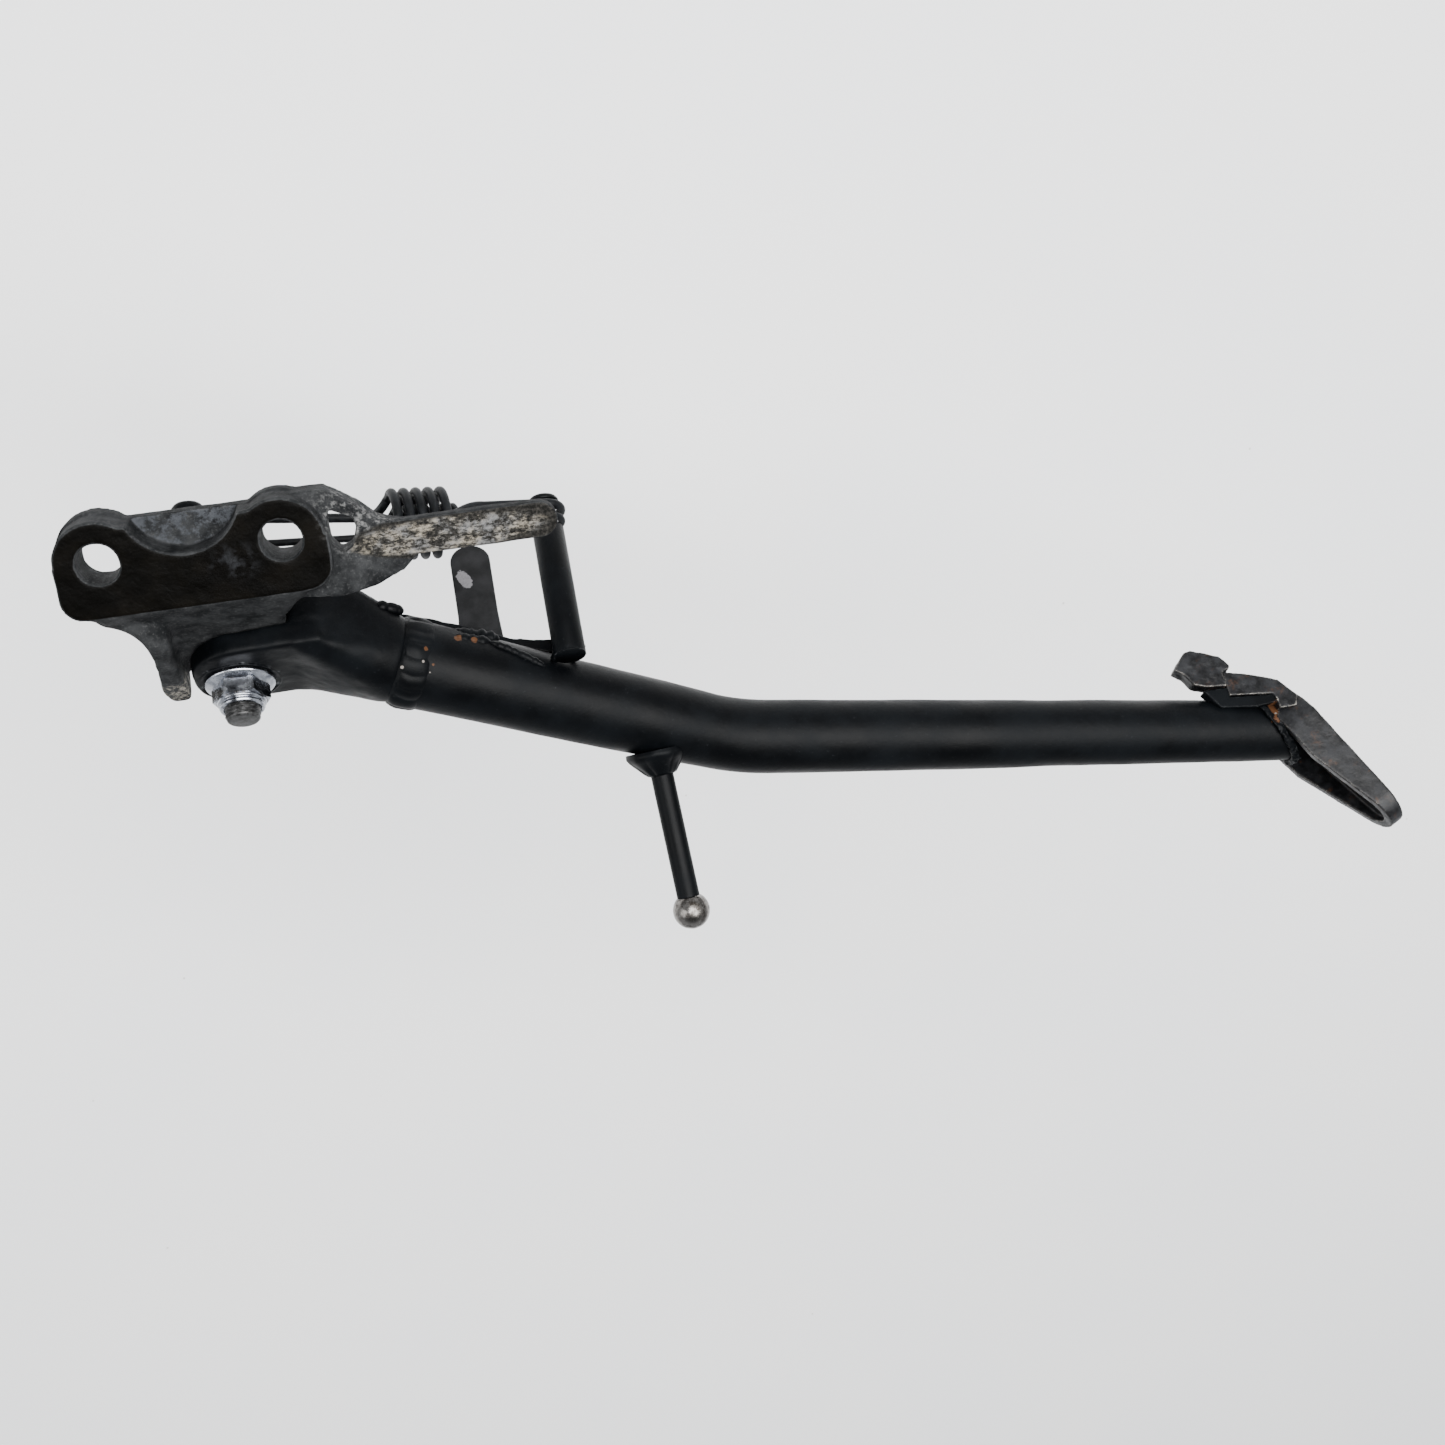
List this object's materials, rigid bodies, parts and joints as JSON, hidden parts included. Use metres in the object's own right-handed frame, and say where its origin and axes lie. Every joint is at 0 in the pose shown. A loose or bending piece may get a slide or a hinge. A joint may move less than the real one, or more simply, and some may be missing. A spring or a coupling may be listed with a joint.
{
  "type": "motorcycle side stand",
  "caption": "Motorcycle side stand: cast mounting bracket, forked tubular leg on an angled pivot bolt, nested return springs, ball-ended tang and dished foot.",
  "frame": {"origin": "centre of the front mounting bore, on the bracket's mounting face", "axes": "+Z along the mounting bores, towards the side the bolts are fitted from; +X from the front bore to the rear bore, the way the stowed leg points; +Y towards the inboard edge of the bracket"},
  "size_m": [0.3864, 0.1562, 0.0784],
  "materials": {
    "cast_iron_black": "painted casting, satin black with dusty and corroded patches",
    "bronze_bush": "plain bronze",
    "dark_steel": "dark, dull steel",
    "bolt_steel": "dull, oily steel",
    "zinc_plate": "bright zinc plate",
    "black_paint": "satin blue-black paint with light wear",
    "worn_paint": "satin black paint worn through to bare metal",
    "polished_steel": "steel polished by wear",
    "foot_steel": "dark worn steel with rust tints",
    "spring_steel": "dark coated spring wire"
  },
  "bodies": {
    "bracket": {"bracket_casting": "cast_iron_black", "pivot_bush": "bronze_bush", "bracket_spring_pin": "dark_steel"},
    "leg": {"pivot_bolt": "bolt_steel", "pivot_nut": "zinc_plate", "leg_head": "black_paint", "leg_tube": "black_paint", "head_weld": "black_paint", "gusset_rib": "black_paint", "spring_guard_tab": "worn_paint", "tab_weld": "black_paint", "spring_post": "black_paint", "post_weld": "black_paint", "tang_rod": "black_paint", "tang_ball": "polished_steel", "tang_weld": "black_paint", "foot_plate": "foot_steel", "foot_strap": "foot_steel", "foot_lug": "foot_steel", "foot_web": "black_paint", "foot_weld": "black_paint"},
    "springs": {"outer_spring": "spring_steel", "inner_spring": "spring_steel"}
  },
  "joints": [
    {"name": "leg_swing", "type": "hinge", "parent": "bracket", "child": "leg", "pos_m": [0.0255, -0.03683, -0.02021], "axis": [0, 0.682, -0.7314], "range_deg": [0, 97]},
    {"name": "spring_swing", "type": "hinge", "parent": "bracket", "child": "springs", "pos_m": [0.0169, -0.00784, -0.03488], "axis": [0, 0.682, -0.7314], "range_deg": [0, 90], "deforming": ["outer_spring", "inner_spring"]}
  ],
  "couplings": [
    {"joint": "spring_swing", "follows": "leg_swing", "ratio": 0.8796}
  ]
}
